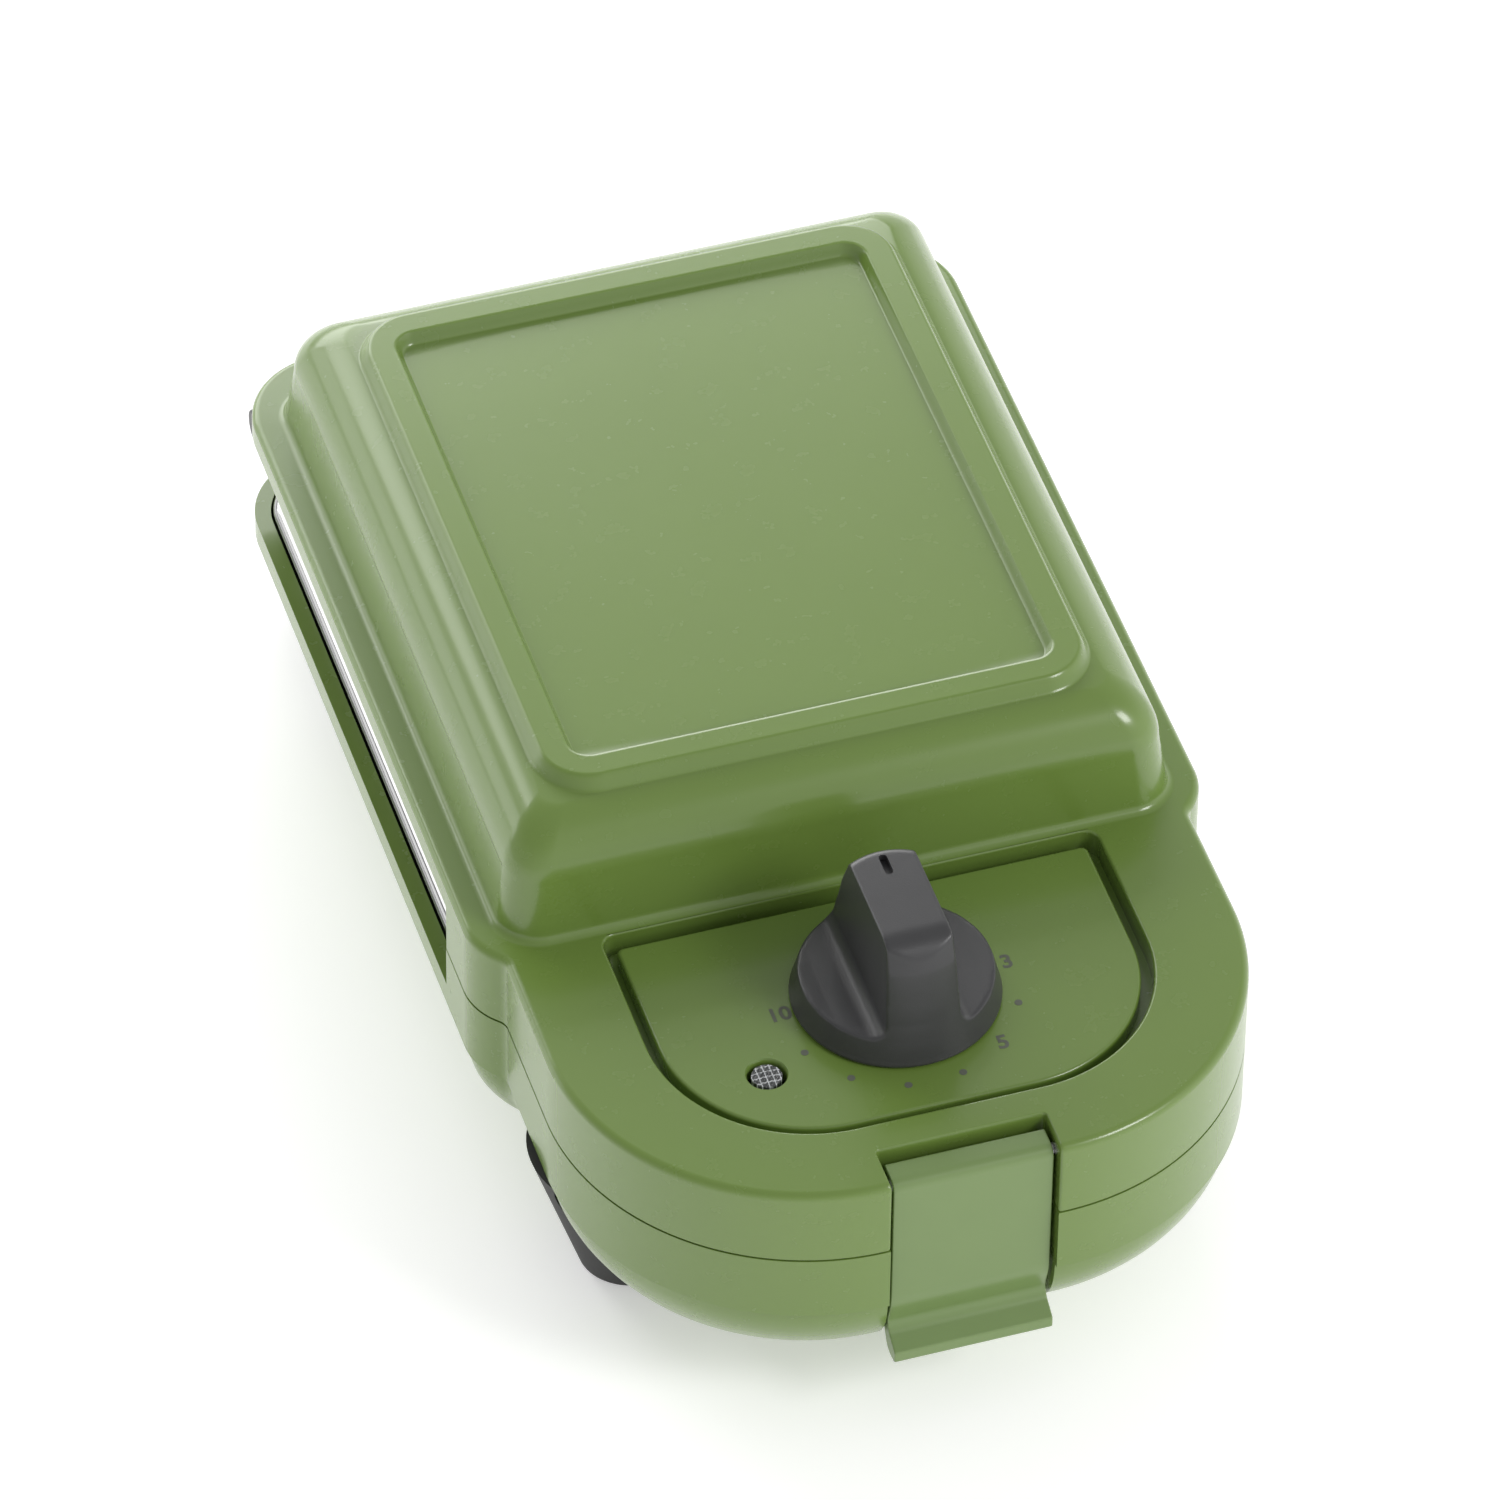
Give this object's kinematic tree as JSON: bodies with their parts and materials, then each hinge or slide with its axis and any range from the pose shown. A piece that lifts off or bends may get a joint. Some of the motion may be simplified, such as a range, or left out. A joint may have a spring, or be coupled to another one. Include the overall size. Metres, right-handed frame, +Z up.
{
  "type": "donut maker",
  "caption": "Compact electric donut maker with a hinged domed lid, ring-shaped cavities in two plates, a timer knob in the handle and a front latch.",
  "frame": {"origin": "on the table, under the middle of the bounding box", "axes": "+Z up, +Y from the latch at the front towards the hinge at the rear, +X to the right seen from the latch end"},
  "size_m": [0.145, 0.252, 0.093],
  "materials": {
    "green_paint": "satin olive green",
    "green_plastic": "satin, a little greyer than the casing",
    "black_plastic": "fine grain",
    "rubber": "matt",
    "non_stick": "non-stick coated aluminium",
    "aluminium": "bright pressed sheet",
    "steel": "bright",
    "lens": "clear",
    "phenolic": "moulded",
    "brass": "turned",
    "wire_sleeve": "glass-fibre sleeve"
  },
  "bodies": {
    "base": {"base_casing": "green_paint", "base_handle_liner": "black_plastic", "base_screw_1": "steel", "base_screw_2": "steel", "base_screw_3": "steel", "base_screw_4": "steel", "cord_gland": "rubber", "foot_front_left": "rubber", "foot_front_right": "rubber", "foot_rear_left": "rubber", "foot_rear_right": "rubber", "hinge_housing": "black_plastic", "hinge_pin_left": "steel", "hinge_pin_right": "steel", "lower_frame": "black_plastic", "lower_heater": "steel", "lower_plate": "non_stick", "lower_reflector": "aluminium", "lower_thermostat": "steel", "supply_lead": "wire_sleeve", "terminal_block": "phenolic"},
    "lid": {"lid_cover": "green_paint", "control_panel": "green_paint", "pilot_lamp_lens": "lens", "pilot_lamp_bulb": "lens", "pilot_lamp_holder": "black_plastic", "timer_body": "phenolic", "timer_screw_left": "steel", "timer_screw_right": "steel", "lid_handle_cover": "black_plastic", "lid_screw_1": "steel", "lid_screw_2": "steel", "lid_screw_3": "steel", "lid_screw_4": "steel", "latch_pin": "steel", "upper_frame": "black_plastic", "upper_plate": "non_stick", "upper_reflector": "aluminium", "upper_heater": "steel", "upper_thermostat": "steel", "thermal_fuse": "steel", "upper_lead_left": "wire_sleeve", "upper_lead_right": "wire_sleeve", "lid_hinge_left": "steel", "lid_hinge_right": "steel"},
    "latch": {"latch": "green_plastic", "latch_spring": "steel"},
    "timer_knob": {"timer_knob": "black_plastic", "timer_shaft": "brass"},
    "upper_clip": {"upper_plate_clip": "steel"},
    "lower_clip": {"lower_plate_clip": "steel"}
  },
  "joints": [
    {"name": "lid_hinge", "type": "hinge", "parent": "base", "child": "lid", "pos_m": [0, 0.115, 0.0556], "axis": [-1, 0, 0], "range_deg": [0, 100]},
    {"name": "latch_hinge", "type": "hinge", "parent": "lid", "child": "latch", "pos_m": [0, -0.1199, 0.0609], "axis": [-1, 0, 0], "range_deg": [0, 42], "stiffness_Nm_per_rad": 0.06, "springref_deg": -9.74},
    {"name": "timer_turn", "type": "hinge", "parent": "lid", "child": "timer_knob", "pos_m": [0, -0.0765, 0.0643], "axis": [0, 0, -1], "range_deg": [0, 330]},
    {"name": "upper_clip_slide", "type": "slide", "parent": "lid", "child": "upper_clip", "axis": [0, -1, 0], "range_m": [0, 0.0029], "stiffness_N_per_m": 60, "springref_m": -0.003},
    {"name": "lower_clip_slide", "type": "slide", "parent": "base", "child": "lower_clip", "axis": [0, -1, 0], "range_m": [0, 0.0029], "stiffness_N_per_m": 60, "springref_m": -0.003}
  ]
}
